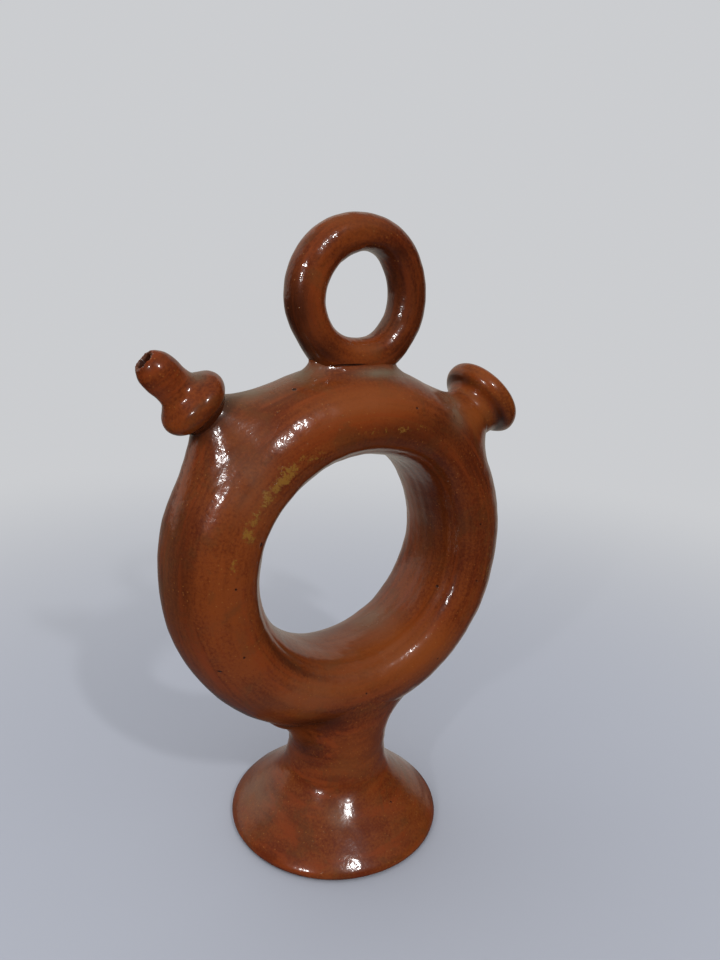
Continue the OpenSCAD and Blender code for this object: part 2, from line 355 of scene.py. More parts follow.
# Random pits, and the given dark spots, among them the seat's crack painted dark as shade.
pit_and_crack_shade = calc(glaze, "MAXIMUM", pit_and_crack_shade, given["Pit and crack shade"])
body = tint(glaze, times(glaze, pit_and_crack_shade, 0.9), body, (0.014, 0.005, 0.003, 1))
clay = tint(glaze, ramp(glaze, noise(glaze, at, 300, 5, 0.7), 0.3, 0.7),
            (0.250, 0.105, 0.055, 1), (0.380, 0.190, 0.110, 1))
glaze.links.new(tint(glaze, bare, body, clay), wanted["Color"])

# Film and bare clay are duller than the glaze.
rough = ramp(glaze, noise(glaze, at, 60, 3), 0.35, 0.75, 0.12, 0.18)
for layer, weight in ((film_and_sheen, 0.34), (ochre, 0.12), (bare, 0.65)):
    rough = plus(glaze, rough, times(glaze, layer, weight))
glaze.links.new(rough, wanted["Roughness"])

# Heights are in millimetres: orange peel, a wider ripple and faint lines along the turning.
peel = times(glaze, noise(glaze, at, 480, 2, 0.5), 0.12)
ripple = times(glaze, noise(glaze, at, 170, 2, 0.5), 0.15)
lines = times(glaze, noise(glaze, along, 5.0, 2, 0.5), 0.05)
height = plus(glaze, plus(glaze, peel, ripple), lines)
height = calc(glaze, "SUBTRACT", height, times(glaze, pit_and_crack_shade, 0.25))
for layer, weight in ((ochre, 0.04), (speck, 0.05)):
    height = plus(glaze, height, times(glaze, layer, weight))
glaze.links.new(height, wanted["Height"])


def glazed(name, dark, warm, turning, pits_and_crack_shade=(), relief=1.0):
    """Material of one glazed piece. turning makes the vector that the glaze is drawn out along.
    pits_and_crack_shade are dark spots, a centre and three half sizes each: the bubbles that broke
    through the glaze of the real jug, and the seat's crack painted dark as shade.
    relief is the strength of the orange-peel skin."""
    material = bpy.data.materials.new(name)
    material.use_nodes = True
    tree = material.node_tree
    tree.nodes.clear()
    position = add_node(tree, "TexCoord").outputs["Object"]
    marks = add_node(tree, "Attribute", attribute_name="glaze_and_painted_light_marks").outputs
    spot_and_crack_shade = 0.0
    for centre, size in pits_and_crack_shade:
        away = vectors(tree, "DIVIDE", vectors(tree, "SUBTRACT", position, centre)[0], size)[0]
        away = vectors(tree, "LENGTH", away)["Value"]
        spot_and_crack_shade = calc(tree, "MAXIMUM", ramp(tree, away, 1.0, 0.5), spot_and_crack_shade)
    coat = add_node(tree, "Group", {
        "Position": position, "Turning": turning(tree, position), "Dark": dark, "Warm": warm,
        "Marks": marks["Color"], "Bare": marks["Alpha"], "Pit and crack shade": spot_and_crack_shade}, node_tree=glaze).outputs
    bump = add_node(tree, "Bump", {"Height": coat["Height"], "Distance": 0.001, "Strength": relief})
    shader = add_node(tree, "BsdfPrincipled", {
        "Base Color": coat["Color"], "Roughness": coat["Roughness"],
        "Normal": bump.outputs["Normal"], "IOR": 1.5, "Coat Weight": 0.4,
        "Coat Roughness": 0.31, "Coat IOR": 1.4})
    add_node(tree, "OutputMaterial", {"Surface": shader.outputs["BSDF"]})
    return material


def turned_round(centre, quick, drift):
    """The turning of a ring that lies in XZ: quick changes with the distance from its centre and
    with the depth, and slow ones all along it."""
    def vector(tree, position):
        x, y, z = add_node(tree, "SeparateXYZ", {
            0: vectors(tree, "SUBTRACT", position, centre)[0]}).outputs
        r = calc(tree, "SQRT", plus(tree, times(tree, x, x), times(tree, z, z)))
        across = add_node(tree, "CombineXYZ", {0: times(tree, r, quick), 1: times(tree, y, quick)})
        return vectors(tree, "MULTIPLY_ADD", position, (drift, drift, drift), across.outputs[0])[0]
    return vector


wall_holes = ((filler_angle, filler_hole_r), (spout_angle, spout_hole_r))
outside, quads, outer_circles = ring_with_holes(
    turns=384, rounds=192, sink=0.0, holes=wall_holes)
chamber, chamber_quads, inner_circles = ring_with_holes(
    turns=192, rounds=96, sink=wall, holes=wall_holes)
all_quads = [quads, chamber_quads[:, ::-1] + len(outside)]
for outer_circle, inner_circle in zip(outer_circles, inner_circles):
    inner_circle = inner_circle + len(outside)
    all_quads.append(np.stack([outer_circle, np.roll(outer_circle, -1),
                               np.roll(inner_circle, -1), inner_circle], -1))
ring_quads = np.vstack(all_quads)
bubble = ((-0.0517, -0.0232, 0.1588), (0.0012, 0.0016, 0.0022), -0.0005)
ring_points = uneven(np.vstack([outside, chamber]), ring_quads, lumps=[bubble])
in_chamber = np.arange(len(ring_points)) >= len(outside)
ring_turning = turned_round(tuple(ring_centre), quick=95, drift=7)
ring_dark, ring_warm = (0.098, 0.0140, 0.0020, 1), (0.200, 0.0415, 0.0060, 1)
# Where the real jug shows grey film, ochre, and darker and lighter glaze: soft patches with a
# centre, three half sizes and a strength. The film carries painted sheen and reflection too. A
# shade patch is painted shade, and a negative one lightens: painted light on some, lighter glaze
# on others. Then the burst bubbles, with a centre and half sizes.
ring_film_and_sheen = [((-0.026, -0.002, 0.2245), (0.010, 0.009, 0.0040), 0.85),  # crest, left of the handle
             ((0.0220, -0.0060, 0.2225), (0.010, 0.008, 0.005), 0.65),  # crest, right of the handle
             ((0.0080, -0.0125, 0.2243), (0.0105, 0.006, 0.0020), 0.90),  # before the seat
             ((-0.0580, -0.0200, 0.1860), (0.0130, 0.010, 0.0150), 0.20),  # shoulder: painted sheen round the highlights
             ((-0.0250, -0.0230, 0.0900), (0.0300, 0.012, 0.0120), 0.15),  # lower left
             ((-0.048, 0.000, 0.2180), (0.016, 0.010, 0.006), 0.85),  # crest, towards the spout
             ((0.0495, -0.0090, 0.2105), (0.008, 0.011, 0.009), 0.65),  # filler's root
             ((0.0490, -0.0180, 0.2040), (0.006, 0.008, 0.007), 0.40),  # below it
             ((0.0790, -0.0160, 0.1500), (0.008, 0.012, 0.0400), 0.32),  # right edge: painted reflection
             ((-0.066, -0.010, 0.2080), (0.012, 0.010, 0.0060), 0.15),  # spout's root
             ((0.0240, 0.0060, 0.0975), (0.0200, 0.010, 0.0060), 0.50),  # inner wall, low
             ((0.0480, 0.0030, 0.1440), (0.0060, 0.009, 0.0220), 0.18),  # inner wall, right: painted reflection
             ((-0.0900, -0.002, 0.1450), (0.0070, 0.010, 0.0500), 0.30)]  # left edge: painted reflection
ring_ochre = [((-0.0395, -0.025, 0.1890), (0.0034, 0.008, 0.0026), 0.75),
              ((-0.0430, -0.025, 0.1860), (0.0036, 0.008, 0.0032), 1.00),
              ((-0.0468, -0.025, 0.1830), (0.0026, 0.008, 0.0026), 0.60),
              ((-0.0498, -0.025, 0.1785), (0.0030, 0.008, 0.0036), 0.90),
              ((-0.0537, -0.025, 0.1737), (0.0020, 0.008, 0.0024), 0.45),
              ((-0.0561, -0.025, 0.1700), (0.0028, 0.008, 0.0030), 0.80),
              ((-0.0583, -0.025, 0.1640), (0.0030, 0.008, 0.0030), 0.90),
              ((-0.0641, -0.025, 0.1528), (0.0018, 0.008, 0.0060), 0.55),
              ((-0.0300, -0.025, 0.1930), (0.0100, 0.008, 0.0030), 0.42),
              ((0.0120, -0.025, 0.2015), (0.0260, 0.008, 0.0022), 0.42),
              ((0.0700, -0.020, 0.1300), (0.0050, 0.010, 0.0250), 0.42)]
ring_shade = [((-0.0815, -0.011, 0.1500), (0.0070, 0.009, 0.0420), 0.50),  # painted shade in a band down the left
              ((0.0180, -0.0245, 0.2000), (0.0320, 0.012, 0.0085), 0.55),  # painted shade over the hole
              ((0.0380, -0.0200, 0.1800), (0.0100, 0.014, 0.0160), 0.30),  # the hole's upper right
              ((0.0600, -0.0240, 0.1560), (0.0180, 0.016, 0.0460), 0.22),  # right side
              ((0.0480, -0.0060, 0.1560), (0.0090, 0.014, 0.0240), 0.50),  # inner wall, right
              ((-0.0280, -0.0170, 0.0672), (0.0280, 0.016, 0.0070), 1.00),  # painted shade underneath, left
              ((0.0300, -0.0180, 0.0880), (0.0320, 0.016, 0.0120), -0.75),  # lighter: lower right
              ((-0.0040, -0.0200, 0.2140), (0.0300, 0.009, 0.0080), -0.75),  # lighter: top
              ((-0.0280, -0.0250, 0.0840), (0.0300, 0.010, 0.0110), -0.40),  # lighter: lower left
              ((0.0600, -0.0150, 0.2015), (0.0080, 0.009, 0.0080), -0.75),  # painted light: below the filler
              ((0.0690, -0.0110, 0.2045), (0.0060, 0.009, 0.0060), -0.50),  # painted light: filler's root
              ((0.0100, 0.0000, 0.0960), (0.0300, 0.020, 0.0050), -0.40),  # lighter: inner wall, low
              ((-0.0560, -0.0130, 0.2030), (0.0110, 0.010, 0.0090), -0.45)]  # lighter: under the collar
pinhole = (0.0006, 0.0006, 0.0006)
ring_pits = [((-0.0310, -0.0092, 0.2185), (0.0013, 0.0010, 0.0008)),
             ((0.0217, -0.0230, 0.2100), pinhole),
             ((0.0621, -0.0255, 0.1517), pinhole),
             ((0.0471, -0.0143, 0.1182), (0.0010, 0.0010, 0.0010)),
             ((-0.0600, -0.0246, 0.1118), pinhole),
             ((0.0006, -0.0253, 0.0780), pinhole),
             ((-0.0637, -0.0251, 0.1429), pinhole),
             ((-0.0686, -0.0190, 0.1051), (0.0022, 0.0010, 0.0006)),
             ((-0.0517, -0.0230, 0.1588), (0.0008, 0.0012, 0.0014)),
             ((0.0462, -0.0190, 0.2042), pinhole)]
# Painted shade along the hole's left edge, in a thin line beside the rim.
from_middle = ring_points - ring_centre
across_tube = (np.hypot(from_middle[:, 0], from_middle[:, 2]) - ring_mid_r) / tube_inner
tube_turn = np.degrees(np.arctan2(from_middle[:, 1] / ring_half_depth, across_tube)) % 360
on_left = np.clip(0.2 - from_middle[:, 0] / 0.03, 0, 1)
shade_beside_rim = 0.55 * on_left * np.exp(-((tube_turn - 239) / 6) ** 2)
ring_glaze = glazed("ring_glaze", ring_dark, ring_warm, ring_turning, ring_pits, relief=1.15)
make_piece("ring_glazed", ring_points, ring_quads, "ring_body", ring_glaze,
           ring_film_and_sheen, ring_ochre, ring_shade, painted_shade=shade_beside_rim, bare=in_chamber)


# The foot: a trumpet of the same clay, turned hollow on the wheel and open underneath, with a
# short stem. Its base edge is rounded by the sponge. It leans a little, as it was set by hand.
foot_lean = 0.017


def smooth_line(points, steps=6):
    """Curve through the points: each stretch is the cubic whose slope at a point is half the step
    from the point before it to the point after it."""
    p = np.asarray(points, float)
    before, after = np.vstack([p[:1], p[:-2]]), np.vstack([p[2:], p[-1:]])
    a, b, c, d = (q[:, None, :] for q in (before, p[:-1], p[1:], after))
    t = (np.arange(steps) / steps)[None, :, None]
    spans = 0.5 * (2 * b + (c - a) * t + (2 * a - 5 * b + 4 * c - d) * t ** 2
                   + (3 * b - a - 3 * c + d) * t ** 3)
    return np.vstack([spans.reshape(-1, 2), p[-1:]])


def turned(outline, steps, spacing):
    """Surface of revolution: a closed outline of radius and height in millimetres, spaced evenly,
    goes round the axis. Gives a grid of points in metres, whose rows go round and whose columns
    follow the outline."""
    loop = np.vstack([outline, outline[:1]]) / 1000
    length = np.r_[0, np.cumsum(np.linalg.norm(np.diff(loop, axis=0), axis=1))]
    at = np.linspace(0, length[-1], int(length[-1] / spacing) + 1)[:-1]
    r, h = np.interp(at, length, loop[:, 0]), np.interp(at, length, loop[:, 1])
    a = 2 * np.pi * np.arange(steps)[:, None] / steps
    return np.stack([r * np.cos(a), r * np.sin(a), h + 0 * a], -1)


foot_outside = smooth_line([
    (47.5, 0), (51, 1.1), (51.7, 3), (49.3, 6.2), (42.5, 12.4), (33, 20.7), (26.3, 29), (24, 38),
    (23.8, 43), (24, 50)])
stem_top = [(24, 56), (18.5, 56)]
foot_inside = smooth_line([
    (18.5, 44), (18.5, 38), (20.5, 29), (28.5, 19), (37.5, 11), (42.5, 4), (43, 0)])
foot = turned(np.vstack([foot_outside, stem_top, foot_inside]), steps=240, spacing=0.0009)
rows, columns = foot.shape[:2]
foot_quads = grid_quads(rows, columns)
foot = foot.reshape(-1, 3)
foot[:, 0] += foot_lean * foot[:, 2]
slump_heights, slumps = (0, 0.003, 0.008, 0.020, 0.030), (0.00025, 0.00025, -0.0005, -0.0005, 0)
front_right = (0.84, -0.54)
foot[:, :2] += np.interp(foot[:, 2], slump_heights, slumps)[:, None] * front_right


def turned_upright(quick, drift):
    """The turning of a piece thrown about the upright axis: quick changes with the height."""
    def vector(tree, position):
        z = add_node(tree, "SeparateXYZ", {0: position}).outputs[2]
        rise = add_node(tree, "CombineXYZ", {2: times(tree, z, quick)}).outputs[0]
        return vectors(tree, "MULTIPLY_ADD", position, (drift, drift, drift), rise)[0]
    return vector


foot_glaze = glazed(
    "foot_glaze", dark=(0.118, 0.0182, 0.0028, 1), warm=(0.196, 0.0440, 0.0066, 1),
    turning=turned_upright(quick=70, drift=18), pits_and_crack_shade=[((0.0133, -0.0321, 0.0187), pinhole)],
    relief=0.75)
# Painted shade on the stem's left and painted light on its front, the same on the foot and on its
# luting.
stem_shade = [((-0.0205, -0.0090, 0.0480), (0.0085, 0.011, 0.0090), 0.65),
              ((-0.0040, -0.0215, 0.0480), (0.0150, 0.010, 0.0130), -0.45)]
standing_edge = np.clip((0.0006 - foot[:, 2]) / 0.0004, 0, 1)
in_hollow = np.tile(np.arange(columns) > columns * 0.55, rows)
# Grey film with painted sheen and reflection on the foot's flanks.
foot_film_and_sheen = [((-0.0146, -0.0301, 0.0200), (0.005, 0.007, 0.005), 0.28),
             ((-0.0380, 0.0120, 0.0160), (0.010, 0.018, 0.010), 0.36),
             ((0.0337, -0.0080, 0.0200), (0.007, 0.014, 0.008), 0.42)]
make_piece("foot_glazed", uneven(foot, foot_quads), foot_quads, "pedestal_foot",
           foot_glaze, film_and_sheen=foot_film_and_sheen, shade=stem_shade,
           bare=np.minimum(standing_edge + in_hollow, 1))


# The foot's luting: soft clay wiped with a finger into the corner between stem and ring, glazed
# over with them. It leaves a small ledge at the left.
buried = 0.003


def wiped_arc(start, end, before_end, fullness, steps, ceiling=np.inf):
    """Rows of points along conic arcs, with the weights (1-t)^2, 2ft(1-t) and t^2, from start to
    end. Their corners stand over start on the skin's tangent at end, not above the ceiling. They
    leave start a hair higher and dip a hair under the skin at end."""
    slope = end - before_end
    slope = slope[:, 2] / np.linalg.norm(slope[:, :2], axis=1)
    flat = np.linalg.norm((end - start)[:, :2], axis=1)
    tangent = np.minimum(end[:, 2] - slope * flat, ceiling)
    corner = np.concatenate([start[:, :2], tangent[:, None]], 1)
    t = (np.arange(steps + 1) / steps)[:, None, None]
    w0, w1, w2 = (1 - t) ** 2, 2 * fullness * t * (1 - t), t ** 2
    arc = (w0 * start + w1 * corner + w2 * end) / (w0 + w1 + w2)
    arc[:, :, 2] += 0.00003 - 0.00008 * t[:, :, 0] ** 12
    return arc


def wiped_fillet(angle, neck_r, rise, reach, fullness, aside=(0, 0), turns=144, steps=22):
    """Fillet of wiped arcs between a round neck and the ring's skin. At each turn a one goes from
    the neck's wall to an oval on the ring. rise is how high it starts ahead and behind, reach
    gives the oval's half sizes ahead, behind, front and back, and aside is where the neck's
    middle is. It closes inside the two pieces."""
    origin, axes = on_ring(angle)
    a = 2 * np.pi * np.arange(turns) / turns
    ahead, behind, front, back = reach
    along = np.where(np.cos(a) > 0, ahead, behind) * np.cos(a)
    across = np.where(np.sin(a) > 0, back, front) * np.sin(a)
    end_turn = angle + np.arcsin(along / ring_outer_r)
    end_round = np.arcsin(across / ring_half_depth)

    def skin(share):
        """The ring's skin under the way from the neck's axis to the oval, in the local axes."""
        return (ring_skin(angle + (end_turn - angle) * share, end_round * share) - origin) @ axes.T

    end = skin(1.0)
    top = (rise[0] + rise[1]) / 2 + (rise[0] - rise[1]) / 2 * np.cos(a)
    start = np.stack([aside[0] + neck_r * np.cos(a), aside[1] + neck_r * np.sin(a), top], -1)
    arc = wiped_arc(start, end, skin(0.98), fullness, steps)
    in_neck = start - buried * np.stack([np.cos(a), np.sin(a), 0 * a], -1)
    below = in_neck.copy()
    below[:, 2] = skin(0.35)[:, 2] - buried
    grid = np.concatenate([below[None], in_neck[None], arc, end[None] - (0, 0, buried)])
    return (origin + grid @ axes).reshape(-1, 3), grid_quads(*grid.shape[:2])


points, quads = wiped_fillet(
    np.pi, neck_r=0.0240, rise=(0.009, 0.009), reach=(0.043, 0.041, 0.02715, 0.0258),
    fullness=1.0, aside=(0.0008, -0.0021))
ledge = ((-0.0335, -0.004, 0.0620), (0.0050, 0.010, 0.0026), 0.0012)
foot_luting_glaze = glazed("foot_luting_glaze", ring_dark, ring_warm, ring_turning, ring_pits)
make_piece("foot_luting_glazed", uneven(points, quads, lumps=[ledge]), quads, "foot_luting",
           foot_luting_glaze, ring_film_and_sheen, ring_ochre, ring_shade + stem_shade)


# The handle: a coil of clay rolled by hand, bent into a ring and pressed on top of the body, so
# that its flanks straighten where they meet it.
handle_centre = np.array([0.0028, -0.0016, 0.25538])
handle_mid_r, coil_half_width, coil_half_depth = 0.026, 0.0086, 0.009
coil_outer_dents = ((-122, -1.0, 15), (124, -0.6, 12), (-150, 0.5, 9), (152, 0.3, 8))
coil_inner_dents = ((24, 2.6, 40), (34, 0.35, 14), (146, 0.65, 18), (180, -0.5, 24))


def coil(turns=256, rounds=96, power=0.94):
    """A rolled coil bent into a ring: its section is a slightly squared oval, and its outer and
    inner lines are dented, so that its flanks straighten towards the seat."""
    turn = (2 * np.pi * np.arange(turns) / turns)[:, None]
    around = (2 * np.pi * np.arange(rounds) / rounds)[None, :]
    c, s = np.cos(around), np.sin(around)
    r = handle_mid_r + coil_half_width * np.sign(c) * np.abs(c) ** power
    r = r + dents(turn, coil_outer_dents) * np.clip(c, 0, 1)
    r = r + dents(turn, coil_inner_dents) * np.clip(-c, 0, 1)
    y = coil_half_depth * np.sign(s) * np.abs(s) ** power + 0 * turn
    return np.stack([r * np.sin(turn), y, r * np.cos(turn)], -1)


handle = coil()
handle_quads = grid_quads(*handle.shape[:2])
set_askew = rotation(2, np.radians(1.3)) @ rotation(0, np.radians(0.9))
handle = handle.reshape(-1, 3) @ set_askew.T + handle_centre
# Painted shade: the crack at the front of the seat, painted dark on the coil and on the slip.
seat_crack_shade = [((-0.0055, -0.0106, 0.2279), (0.0100, 0.0030, 0.00050)),
              ((-0.0120, -0.0104, 0.2277), (0.0060, 0.0030, 0.00030))]
handle_glaze = glazed(
    "handle_glaze", dark=(0.080, 0.0110, 0.0016, 1), warm=(0.182, 0.0350, 0.0046, 1),
    turning=turned_round(tuple(handle_centre), quick=130, drift=14), pits_and_crack_shade=seat_crack_shade, relief=1.7)
handle_nicks = [((0.0175, 0.0010, 0.2862), (0.0009, 0.003, 0.0009), -0.00030),
                ((0.0212, 0.0010, 0.2830), (0.0008, 0.003, 0.0008), -0.00035),
                ((0.0245, 0.0005, 0.2792), (0.0009, 0.003, 0.0009), -0.00025),
                ((0.0262, -0.002, 0.2340), (0.0009, 0.003, 0.0009), -0.00035)]
handle_painted_reflection = [((0.016, 0.003, 0.250), (0.004, 0.009, 0.014), 0.35)]  # painted reflection inside, right
# Painted shade on the coil's flanks and round its hole; negative rows are painted light.
handle_shade = [((-0.0305, -0.005, 0.2460), (0.0080, 0.014, 0.0180), 1.00),  # outside, left
                ((-0.0195, -0.005, 0.2325), (0.0115, 0.012, 0.0065), 1.00),  # lower left
                ((0.0300, -0.004, 0.2500), (0.0110, 0.014, 0.0250), 0.60),  # outside, right
                ((0.0220, -0.004, 0.2330), (0.0090, 0.014, 0.0060), 0.60),  # lower right
                ((0.0110, -0.006, 0.2745), (0.0130, 0.010, 0.0035), 0.60),  # over the hole
                ((0.0190, 0.000, 0.2640), (0.0040, 0.012, 0.0120), 0.50),  # beside the hole
                ((0.0010, -0.006, 0.2340), (0.0110, 0.010, 0.0040), -0.60),  # painted light: bottom
                ((-0.0060, -0.004, 0.2850), (0.0200, 0.012, 0.0060), -0.50),  # painted light: top
                ((-0.0210, -0.008, 0.2600), (0.0050, 0.010, 0.0100), -0.35)]  # painted light: left
make_piece("handle_glazed", uneven(handle, handle_quads, lumps=handle_nicks), handle_quads,
           "handle_ring", handle_glaze, film_and_sheen=handle_painted_reflection, shade=handle_shade)


# The handle's luting: pale slip squeezed out from under the coil and wiped down on to the ring.
# Along its upper edge at the front, a thin crack is painted dark: painted shade in the crevice under
# the coil.
seat_half_width, seat_half_depth, seat_drop = 0.0206, 0.0086, 0.0278
slip_half_width, slip_half_depth = 0.0275, 0.0150


def seat_slip(turns=200, steps=26, power=0.88):
    """Low fillet of wiped arcs round the coil's seat. At each turn a one goes from a squared oval
    inside the coil, higher at the left end, to a wider wavy oval on the ring's skin. It closes
    inside the two pieces."""
    a = 2 * np.pi * np.arange(turns) / turns
    c, s = np.cos(a), np.sin(a)
    left, right = np.clip(-c, 0, 1) ** 4, np.clip(c, 0, 1) ** 4
    wobble = 1 + 0.02 * np.sin(3 * a + 0.6) + 0.015 * np.sin(7 * a + 1.9)
    start = handle_centre + np.stack([
        (seat_half_width + 0.0021 * left - 0.0004 * right) * np.sign(c) * np.abs(c) ** power,
        seat_half_depth * np.sign(s) * np.abs(s) ** power,
        -seat_drop + 0.0021 * left - 0.0008 * right + 0.0002 * np.sin(5 * a + 1)], -1)
    along = (slip_half_width + 0.004 * left) * wobble * c + handle_centre[0] - ring_centre[0]
    across = slip_half_depth * wobble * s + handle_centre[1] - ring_centre[1]

    def skin(share):
        """The ring's skin on the way from the seat's middle to the outer oval."""
        return ring_skin(np.arcsin(along * share / ring_outer_r),
                         np.arcsin(across * share / ring_half_depth))

    end = skin(1.0)
    arc = wiped_arc(start, end, skin(0.98), 0.7, steps, start[:, 2] - 0.0004)
    low = np.stack([start[:, 0], start[:, 1], skin(0.5)[:, 2] - buried], -1)
    grid = np.concatenate([low[None], arc, end[None] - (0, 0, 0.002)])
    return grid.reshape(-1, 3), grid_quads(*grid.shape[:2])


points, quads = seat_slip()
seat_glaze = glazed("seat_glaze", ring_dark, ring_warm, ring_turning, seat_crack_shade)
slip_lumps = [((-0.0190, -0.0060, 0.2268), (0.0014, 0.0014, 0.0010), 0.0003),
              ((-0.0077, -0.0101, 0.2262), (0.0014, 0.0012, 0.0010), 0.0003),
              ((0.0173, -0.0087, 0.2270), (0.0014, 0.0014, 0.0010), 0.0004)]
make_piece("handle_luting_glazed", uneven(points, quads, lumps=slip_lumps), quads,
           "handle_luting", seat_glaze, ring_film_and_sheen, ring_ochre, ring_shade)


# The filler: a short thrown neck with a flare and a thick rolled lip. Its bore takes a stopper
# and runs down through the hole in the ring's wall into the chamber.
filler_origin, filler_axes = on_ring(filler_angle, lean=(-1, 3, 0))
filler_outside = smooth_line([
    (13.6, -6), (13.6, 1), (13.8, 4), (14.1, 7), (14.8, 9.2), (16.3, 11.0), (18.6, 12.7),
    (20.1, 15.0), (20.4, 17.4), (19.9, 19.6), (18.3, 21.4), (15.9, 22.1), (13.6, 20.9),
    (11.8, 18.4), (10.1, 15.6), (9.5, 13.5)])
filler_bore = smooth_line([(9.5, 2.2), (9.2, 1.2), (8.0, 0.6), (7.7, 0)])
bore_end = [(7.7, -5.4), (8.4, -5.8)]
groove_height, pinch_height, outer_wall_r, bore_r = 0.0118, 0.0122, 0.0125, 0.0104
filler = turned(np.vstack([filler_outside, filler_bore, bore_end]), steps=200, spacing=0.0007)
filler_quads = grid_quads(*filler.shape[:2])
# Under the lip the wall is pinched in a little, on the side away from the handle.
lower_side = np.clip(np.cos(np.arctan2(filler[..., 1], filler[..., 0])), 0, 1) ** 2
nipped = lower_side * np.exp(-((filler[..., 2] - pinch_height) / 0.0028) ** 2)
nipped = nipped * (np.hypot(filler[..., 0], filler[..., 1]) > outer_wall_r)
filler[..., :2] *= (1 - 0.11 * nipped)[..., None]


def place(grid, origin, axes):
    """Moves a grid built about its own upright axis to its place on the ring."""
    return origin + grid.reshape(-1, 3) @ axes


def rise_and_radius(points, origin, axis):
    """How far each point lies along an axis from its origin, and how far off the axis."""
    away = points - origin
    rise = away @ axis
    return rise, np.linalg.norm(away - rise[:, None] * axis, axis=1)


def turned_on(origin, axis, quick, drift):
    """The turning of a neck thrown about its own leaning axis: quick changes along that axis."""
    def vector(tree, position):
        away = vectors(tree, "SUBTRACT", position, tuple(origin))[0]
        rise = vectors(tree, "DOT_PRODUCT", away, tuple(axis))["Value"]
        risen = add_node(tree, "CombineXYZ", {0: times(tree, rise, quick)}).outputs[0]
        return vectors(tree, "MULTIPLY_ADD", position, (drift, drift, drift), risen)[0]
    return vector


filler = place(filler, filler_origin, filler_axes)
filler_glaze = glazed(
    "filler_glaze", dark=(0.112, 0.0195, 0.0030, 1), warm=(0.225, 0.0540, 0.0075, 1),
    turning=turned_on(filler_origin, filler_axes[2], quick=150, drift=18), relief=0.6)
filler_rise, filler_out = rise_and_radius(filler, filler_origin, filler_axes[2])
# Painted shade in the groove under the lip.
groove_shade = np.exp(-((filler_rise - groove_height) / 0.0022) ** 2) * (filler_out > outer_wall_r)
steady = np.clip(1.1 - filler_rise / 0.016, 0.1, 1)
filler_lumps = [((0.0500, 0.006, 0.2190), (0.0012, 0.002, 0.0012), -0.0005),  # nick in the lip
                ((0.0870, -0.0040, 0.1920), (0.0060, 0.0110, 0.0050), 0.0016)]  # the lip sags
# Grey film with painted sheen at the neck's root and on the lip.
filler_film_and_sheen = [((0.0555, -0.004, 0.2110), (0.006, 0.010, 0.008), 0.5),
               ((0.0500, 0.000, 0.2180), (0.006, 0.012, 0.006), 0.5)]
# Painted light on the front of the neck.
filler_painted_light = [((0.0660, -0.0120, 0.2080), (0.009, 0.009, 0.010), -0.75),
                ((0.0680, -0.0120, 0.2230), (0.012, 0.010, 0.006), -0.50)]
make_piece("filler_glazed", uneven(filler, filler_quads, steady, filler_lumps), filler_quads,
           "filler_neck", filler_glaze, film_and_sheen=filler_film_and_sheen, shade=filler_painted_light,
           painted_shade=0.85 * groove_shade, bare=filler_out < bore_r)


# The filler's luting: soft clay wiped round the neck's root, which seals it to the ring's wall
# and is drawn out a little further towards the handle.
points, quads = wiped_fillet(
    filler_angle, neck_r=0.0136, rise=(0.0054, 0.0078), reach=(0.030, 0.036, 0.0240, 0.0240),
    fullness=0.95)
filler_luting_glaze = glazed(
    "filler_luting_glaze", ring_dark, ring_warm, ring_turning, ring_pits, relief=0.8)
make_piece("filler_luting_glazed", uneven(points, quads), quads, "filler_luting",
           filler_luting_glaze, ring_film_and_sheen, ring_ochre, ring_shade)


# The spout: a thrown nozzle with a doughnut-shaped collar under it, where the thumb goes. The tip
# is chipped round its small outlet, where the broken clay shows a little and is painted dark with
# shade.
spout_origin, spout_axes = on_ring(spout_angle, lean=(3, -3.6, 0))
spout_outside = smooth_line([
    (12.6, -6), (12, -1), (11.2, 4), (9.9, 7.4), (11.6, 10.4), (14.2, 12.8), (15.2, 15.8),
    (14.3, 18.9), (11.6, 21.6), (9.2, 24.2), (8.5, 28), (8.6, 32.5), (7.9, 37), (6.2, 40.2),
    (4.9, 41.6), (4.0, 42.1)])
spout_channel = smooth_line([
    (3.5, 41.9), (3.1, 40.7), (2.5, 38.6), (2.2, 36), (2.2, 21), (4.2, 14), (6.6, 3), (6.7, -5.4),
    (7.6, -5.9)])
waist_height, tip_height, mouth_height = 0.0086, 0.0370, 0.0395
mouth_r, broken_r, outlet_r = 0.0038, 0.0041, 0.0032
spout = turned(np.vstack([spout_outside, spout_channel]), steps=240, spacing=0.0005)
spout_quads = grid_quads(*spout.shape[:2])
bearing = np.arctan2(spout[..., 1], spout[..., 0])
at_mouth = np.exp(-((np.hypot(spout[..., 0], spout[..., 1]) - mouth_r) / 0.0009) ** 2)
at_mouth = at_mouth * (spout[..., 2] > mouth_height)
jagged = (0.5 * np.sin(3 * bearing + 0.5) + 0.35 * np.sin(7 * bearing + 1.0)
          + 0.25 * np.sin(15 * bearing))
spout[..., 2] += 0.0004 * at_mouth * (jagged - 0.6)
spout[..., :2] *= (1 + 0.07 * at_mouth * np.sin(5 * bearing + 2.0))[..., None]
spout = place(spout, spout_origin, spout_axes)
spout_glaze = glazed(
    "spout_glaze", dark=(0.096, 0.0138, 0.0020, 1), warm=(0.205, 0.0400, 0.0054, 1),
    turning=turned_on(spout_origin, spout_axes[2], quick=150, drift=18), relief=0.7)
spout_rise, spout_out = rise_and_radius(spout, spout_origin, spout_axes[2])
# Painted shade under the collar, on the broken tip and down the outlet's bore.
shade_under_collar = 0.90 * np.exp(-((spout_rise - waist_height) / 0.0034) ** 2)
broken_tip = np.clip((broken_r - spout_out) / 0.0003, 0, 1) * (spout_rise > tip_height)
in_outlet = (spout_out < outlet_r) & (spout_rise > 0.015)
